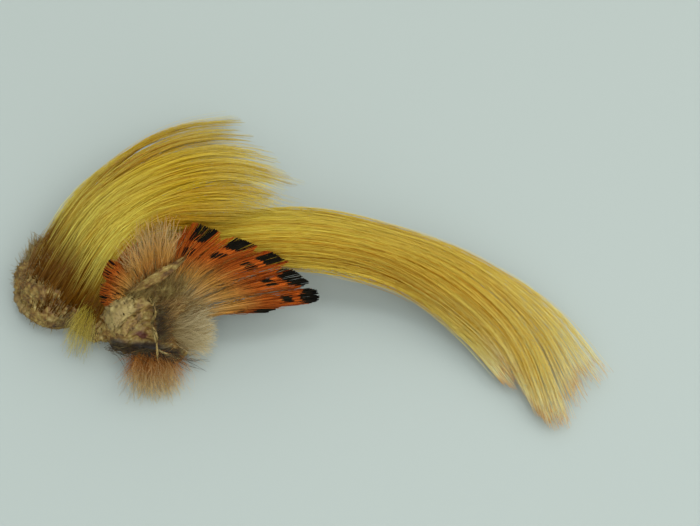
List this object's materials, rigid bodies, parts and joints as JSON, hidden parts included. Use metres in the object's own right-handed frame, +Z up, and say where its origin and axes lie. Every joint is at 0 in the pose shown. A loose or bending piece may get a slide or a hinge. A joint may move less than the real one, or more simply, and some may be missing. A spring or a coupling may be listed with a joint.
{
  "type": "golden pheasant crest on its head skin",
  "caption": "Dried golden pheasant head skin with its golden crest swept back as a fan and a long curved brush, a rosette of black-barred orange tippets, and tufts of down.",
  "frame": {"origin": "on the resting surface, in the middle of the crest's footprint", "axes": "+X back along the crest to its long tips, +Y away from the tippets, +Z up"},
  "size_m": [0.1203, 0.0817, 0.0248],
  "materials": {
    "dried_skin": "dried bird skin, rough, wrinkled and stubbled, cream to dark brown",
    "crest_gold": "silky hair-like barbs, golden yellow with a satin gloss, browner at the tips",
    "tippet_orange": "orange feather barbs with blue-black bars across the square tips",
    "buff_down": "matt buff and grey-brown down",
    "orange_down": "matt orange to buff down",
    "yellow_down": "matt olive-yellow down"
  },
  "bodies": {
    "root": {"head_skin": "dried_skin", "nape_down": "buff_down", "side_down_tuft": "buff_down", "throat_down_tuft": "orange_down", "brow_down_tuft": "yellow_down", "front_crest_feather_01": "crest_gold", "front_crest_feather_02": "crest_gold", "front_crest_feather_03": "crest_gold", "front_crest_feather_04": "crest_gold", "front_crest_feather_05": "crest_gold", "front_crest_feather_06": "crest_gold", "front_crest_feather_07": "crest_gold", "front_crest_feather_08": "crest_gold", "front_crest_feather_09": "crest_gold", "front_crest_underfeather_01": "crest_gold", "front_crest_underfeather_02": "crest_gold", "front_crest_underfeather_03": "crest_gold", "front_crest_underfeather_04": "crest_gold", "front_crest_underfeather_05": "crest_gold", "front_crest_underfeather_06": "crest_gold", "long_crest_feather_01": "crest_gold", "long_crest_feather_02": "crest_gold", "long_crest_feather_03": "crest_gold", "long_crest_feather_04": "crest_gold", "long_crest_feather_05": "crest_gold", "long_crest_feather_06": "crest_gold", "long_crest_feather_07": "crest_gold", "long_crest_feather_08": "crest_gold", "long_crest_underfeather_01": "crest_gold", "long_crest_underfeather_02": "crest_gold", "long_crest_underfeather_03": "crest_gold", "long_crest_underfeather_04": "crest_gold", "long_crest_underfeather_05": "crest_gold", "tippet_feather_01": "tippet_orange", "tippet_feather_02": "tippet_orange", "tippet_feather_03": "tippet_orange", "tippet_feather_04": "tippet_orange", "tippet_feather_05": "tippet_orange", "tippet_feather_06": "tippet_orange", "tippet_feather_07": "tippet_orange", "tippet_feather_08": "tippet_orange", "tippet_feather_09": "tippet_orange", "tippet_feather_10": "tippet_orange", "tippet_feather_11": "tippet_orange", "tippet_underfeather_01": "tippet_orange", "tippet_underfeather_02": "tippet_orange", "tippet_underfeather_03": "tippet_orange", "tippet_underfeather_04": "tippet_orange", "tippet_underfeather_05": "tippet_orange", "tippet_underfeather_06": "tippet_orange", "tippet_underfeather_07": "tippet_orange"}
  },
  "joints": []
}
